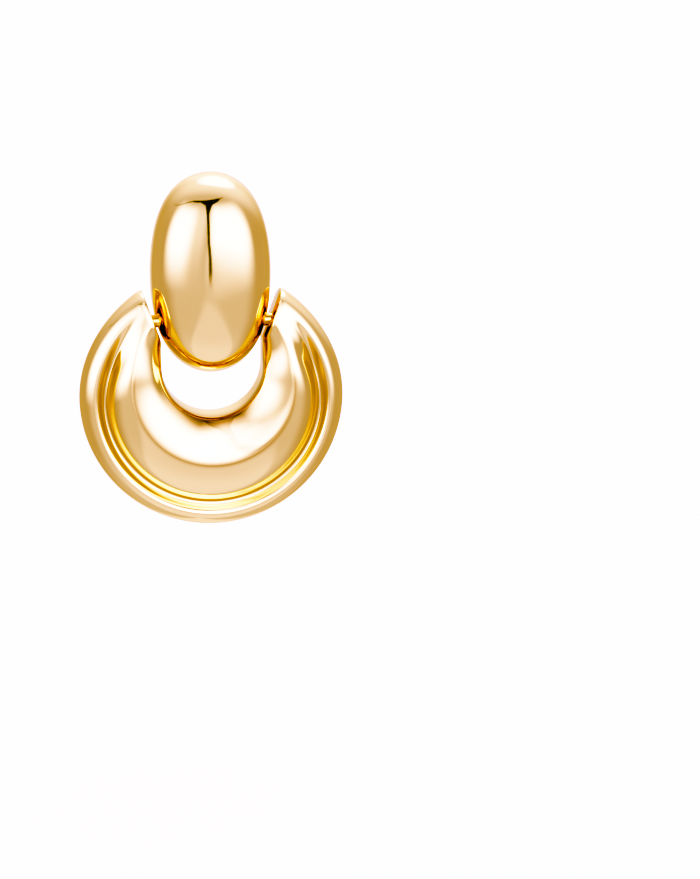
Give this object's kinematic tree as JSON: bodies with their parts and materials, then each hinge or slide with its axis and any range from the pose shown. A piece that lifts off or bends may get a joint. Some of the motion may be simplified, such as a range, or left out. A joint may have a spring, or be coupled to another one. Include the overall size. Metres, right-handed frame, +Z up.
{
  "type": "drop earring",
  "caption": "Door-knocker drop earring: a puffed oval stud on an ear post, with an open crescent disc that swings on a hinge rod through the stud.",
  "frame": {"origin": "where the ear post leaves the flat back of the stud", "axes": "+Z up as worn, +X to the right seen from the front, +Y along the ear post towards its tip, so the front faces -Y"},
  "size_m": [0.0316, 0.0184, 0.0424],
  "materials": {
    "stud_gold": "brass, mirror polished and gold plated",
    "drop_gold": "brass, mirror polished and gold plated",
    "back_gold": "gold plated brass with a fine satin back",
    "post_gold": "gold plated drawn wire",
    "rod_gold": "gold plated rod"
  },
  "bodies": {
    "stud": {"dome_shell": "stud_gold", "dome_back": "back_gold", "ear_post": "post_gold", "hinge_rod": "rod_gold"},
    "drop": {"drop_shell": "drop_gold", "drop_back": "back_gold"}
  },
  "joints": [
    {"name": "drop_swing", "type": "hinge", "parent": "stud", "child": "drop", "pos_m": [0, -0.003, -0.0091], "axis": [-1, 0, 0], "range_deg": [-10, 80]}
  ]
}
